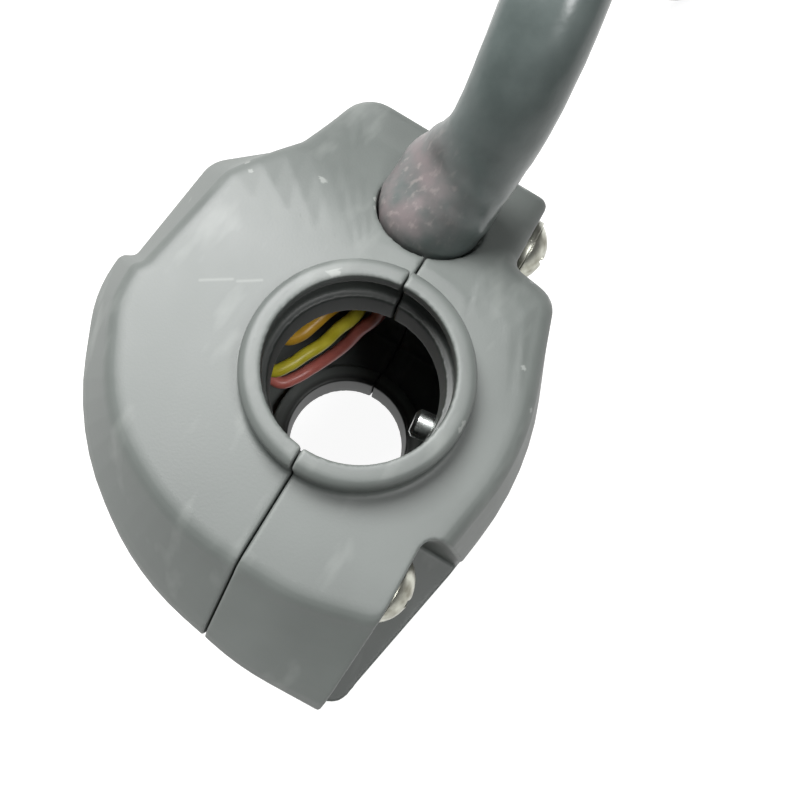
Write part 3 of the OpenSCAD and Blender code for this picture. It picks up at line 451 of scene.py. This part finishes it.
route = route_curve("sleeve_route", LEAD + coil_line + tail_line, SLEEVE_D, 14)
for knot, radius in zip(route.data.splines[0].bezier_points, ROOT_R):
    knot.radius = radius / (SLEEVE_D / 2)
sleeve_mesh = bpy.data.meshes.new_from_object(route)
sleeve_mesh.name = "harness_sleeve"
route.data.bevel_depth = 0
route.data.use_fill_caps = False
bare_line = bpy.data.meshes.new_from_object(route)
sleeve_path = [vertex.co.copy() for vertex in bare_line.vertices]
bpy.data.objects.remove(route)
bpy.data.meshes.remove(bare_line)
path_run = [0.0]
for start, end in zip(sleeve_path, sleeve_path[1:]):
    path_run.append(path_run[-1] + (end - start).length)


def ease(low, high, value):
    """A smooth rise from 0 at low to 1 at high."""
    part = min(max((value - low) / (high - low), 0), 1)
    return part * part * (3 - 2 * part)


def bell(value, middle, width):
    return math.exp(-((value - middle) / width) ** 2)


def crumple(run, angle):
    """How far the sleeve stands out, in millimetres, run millimetres along it and at an angle round it.

    The angle is 0 to the right of the photograph's view, 90 towards it and 180 to the left.
    """
    root = ease(5, 12, run) * (1 - ease(22, 29, run))
    above = ease(21, 28, run) * (1 - ease(50, 70, run))
    fold_at = 92 + 7 * (run - 17)
    out = -0.9 * root * bell(angle, fold_at, 11)
    out += 0.55 * root * bell(angle, fold_at + 42, 34)
    out -= 0.5 * bell(run, 13, 4) * bell(angle, 74, 7)
    out += 0.25 * bell(run, 14, 4) * bell(angle, 62, 8)
    out -= 1.9 * bell(run, 18, 5) * bell(angle, 205, 50)
    out += 0.4 * above * bell(angle, 122, 9)
    out -= 0.7 * above * bell(angle, 150, 16)
    out += 0.9 * above * bell(angle, 190, 30)
    return out


path_tree = KDTree(len(sleeve_path))
for k, point in enumerate(sleeve_path):
    path_tree.insert(point, k)
path_tree.balance()
# The smallest distance from its line at which a point counts as on the sleeve's side, not on its end.
SIDE_FROM = 0.2 * SLEEVE_D * MM
FOLD_MM = 2.6
WRINKLE_MM = 1.2
for vertex in sleeve_mesh.vertices:
    k = path_tree.find(vertex.co)[1]
    run = path_run[k] / MM
    way = (sleeve_path[min(k + 1, len(sleeve_path) - 1)] - sleeve_path[max(k - 1, 0)]).normalized()
    out = vertex.co - sleeve_path[k]
    out -= way * out.dot(way)
    if out.length < SIDE_FROM:
        continue
    out.normalize()
    side = (VIEW_RIGHT - way * VIEW_RIGHT.dot(way)).normalized()
    angle = math.degrees(math.atan2(out.dot(way.cross(side)), out.dot(side))) % 360
    wrinkle = noise_at(vertex.co / (FOLD_MM * MM)) + 0.5 * noise_at(vertex.co / (WRINKLE_MM * MM))
    depth = 0.16 * (1 - ease(20, 32, run)) + 0.05
    vertex.co += out * (crumple(run, angle) + depth * wrinkle) * MM
for face in sleeve_mesh.polygons:
    face.use_smooth = True
sleeve = bpy.data.objects.new("harness_sleeve", sleeve_mesh)
bpy.context.scene.collection.objects.link(sleeve)
sleeve_mesh.materials.append(sleeve_finish)
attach(sleeve, "housing")
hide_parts("harness_lead", "harness_coil")

# Wires inside the housing, on the routes of their solids. Each ends at its own place in the sleeve's mouth.
WIRE_D = 2.2
PLACE_R = 3
PLACE_GAP = 0.1
PLACE_RUN = 2.6
exit_way = (Vector(LEAD[3]) - Vector(LEAD[0])).normalized()
place_u = (Vector((1, 0, 0)) - exit_way * exit_way.x).normalized()
place_v = exit_way.cross(place_u)


def wire_end(k):
    """The last two points of the wire at the k-th of six places round the sleeve's mouth."""
    turn = math.radians(60 * k)
    end = Vector(LEAD[0]) - PLACE_GAP * exit_way
    end += PLACE_R * (math.cos(turn) * place_u + math.sin(turn) * place_v)
    return [tuple(end - PLACE_RUN * exit_way), tuple(end)]


WIRES = {
    "wire_yellow": (
        ("#cdbf2a", "#e6da4a"), 4,
        [(-20.8, 3.3, 21), (-19.4, 3.3, 21.2), (-17.4, 1.4, 22.6), (-15.2, 0.8, 23.6),
         (-13.4, 2.8, 24), (-12, 5.8, 24.2), (-10.4, 8.8, 25), (-9.2, 11.4, 27.2),
         (-7.7, 13.8, 29.8)],
    ),
    "wire_orange": (
        ("#c69327", "#dcac3a"), 3,
        [(-20.8, 9.1, 24.6), (-19.4, 9.1, 24.8), (-17.4, 6.8, 26.4), (-15.4, 5.6, 27.6),
         (-13.7, 7, 28.2), (-12.7, 9.6, 28.6), (-11.8, 12.4, 29.2), (-10.3, 15.2, 30.4)],
    ),
    "wire_red": (
        ("#c46a60", "#da8277"), 5,
        [(-20.8, 3.3, 17.4), (-19.4, 3.3, 17.2), (-17.2, 1.6, 16.8), (-14.7, 1, 16.6),
         (-12.8, 3.2, 16.2), (-11.2, 6.2, 16.4), (-9.4, 9.2, 18), (-7.7, 11.6, 21.2),
         (-6.3, 13.8, 25.6), (-4.6, 15.6, 29.6)],
    ),
    "wire_green": (
        ("#2a6a5b", "#3c8876"), 1,
        [(-20.8, 16.4, 25), (-19.4, 16.4, 25.1), (-17.4, 14.2, 28.4), (-15.4, 12, 31),
         (-13.9, 12.8, 32), (-13.2, 15.5, 30.4), (-11.4, 18, 29), (-8, 19.9, 28.2),
         (-5.2, 21, 29.8)],
    ),
    "wire_black": (
        ("#1c1d1d", "#2a2b2b"), 0,
        [(-20.8, 16.4, 17), (-19.4, 16.4, 17.1), (-17, 17, 19.2), (-14, 18, 21.4),
         (-10.6, 18.6, 23.4), (-7, 18.9, 25.8), (-3.6, 18.9, 28.8)],
    ),
    "wire_blue": (
        ("#24437c", "#31549a"), 2,
        [(-18.8, -4.3, 27.2), (-17.8, -3.78, 27.3), (-17, -2.2, 29.4), (-16.8, 1.4, 32.4),
         (-16.8, 6, 34.2), (-16.6, 10.6, 35), (-15.8, 15, 34.8), (-13.6, 18.6, 33.2),
         (-10.8, 20.8, 31.6), (-8.6, 21.3, 31)],
    ),
}
for name, ((dark, light), place, route) in WIRES.items():
    wire = route_curve(name + "_round", route + wire_end(place), WIRE_D)
    wire.data.materials.append(wire_pvc(name + "_pvc", dark, light))
    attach(wire, "housing")
    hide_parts(name)


# Floor: a white table that stays white to the camera and still takes a soft shadow.
FLOOR_SIZE = 3.0
TABLE_GLOW = 0.94
grid = bmesh.new()
bmesh.ops.create_grid(grid, x_segments=1, y_segments=1, size=FLOOR_SIZE / 2)
floor_mesh = bpy.data.meshes.new("floor")
grid.to_mesh(floor_mesh)
grid.free()
floor = bpy.data.objects.new("floor", floor_mesh)
bpy.context.scene.collection.objects.link(floor)
table, tree, shader = finish("white_table", Roughness=0.7)
shader.inputs["Base Color"].default_value = linear("#868684")
rays = add(tree, "ShaderNodeLightPath")
seen = add(
    tree, "ShaderNodeMath",
    {0: rays.outputs["Is Camera Ray"], 1: rays.outputs["Is Glossy Ray"]}, operation="MAXIMUM",
)
seen = add(
    tree, "ShaderNodeMath",
    {0: seen.outputs[0], 1: rays.outputs["Is Transmission Ray"]}, operation="MAXIMUM",
)
glow = add(tree, "ShaderNodeEmission", {"Color": (1, 1, 1, 1), "Strength": TABLE_GLOW})
lit = add(tree, "ShaderNodeAddShader", {0: shader.outputs["BSDF"], 1: glow.outputs["Emission"]})
choice = add(
    tree, "ShaderNodeMixShader",
    {0: seen.outputs[0], 1: shader.outputs["BSDF"], 2: lit.outputs["Shader"]},
)
tree.links.new(choice.outputs["Shader"], tree.nodes["Material Output"].inputs["Surface"])
floor_mesh.materials.append(table)

ROOM_LIGHT = 0.13
world = bpy.data.worlds.new("studio")
bpy.context.scene.world = world
world.use_nodes = True
sky = world.node_tree.nodes["Background"]
sky.inputs["Color"].default_value = (1, 1, 1, 1)
# The room is dim, but a camera sees it white.
rays = add(world.node_tree, "ShaderNodeLightPath")
brightness = span(world.node_tree, rays.outputs["Is Camera Ray"], 0, 1, ROOM_LIGHT, 1)
world.node_tree.links.new(brightness, sky.inputs["Strength"])


def lamp(name, place, aim, size, watts):
    """A square area lamp at place, turned to aim."""
    data = bpy.data.lights.new(name, "AREA")
    data.shape = "SQUARE"
    data.size = size
    data.energy = watts
    made = bpy.data.objects.new(name, data)
    made.location = place
    made.rotation_euler = (Vector(aim) - Vector(place)).to_track_quat("-Z", "Y").to_euler()
    bpy.context.scene.collection.objects.link(made)


lamp("window", (-0.24, 0.14, 0.5), (-0.01, 0, 0.04), 0.28, 5.0)
lamp("ceiling", (0.2, -0.05, 0.5), (0, 0, 0.03), 0.12, 1.0)

eye = bpy.data.cameras.new("camera")
eye.lens = VIEW_LENS
eye.sensor_width = 36
eye.clip_start = 0.005
camera = bpy.data.objects.new("camera", eye)
bpy.context.scene.collection.objects.link(camera)
turn = Matrix((VIEW_RIGHT, VIEW_UP, VIEW_BACK)).transposed()
camera.matrix_world = Matrix.Translation(VIEW_PLACE * MM) @ turn.to_4x4()
bpy.context.scene.camera = camera

bpy.context.scene.view_settings.view_transform = "Standard"

bpy.context.view_layer.update()
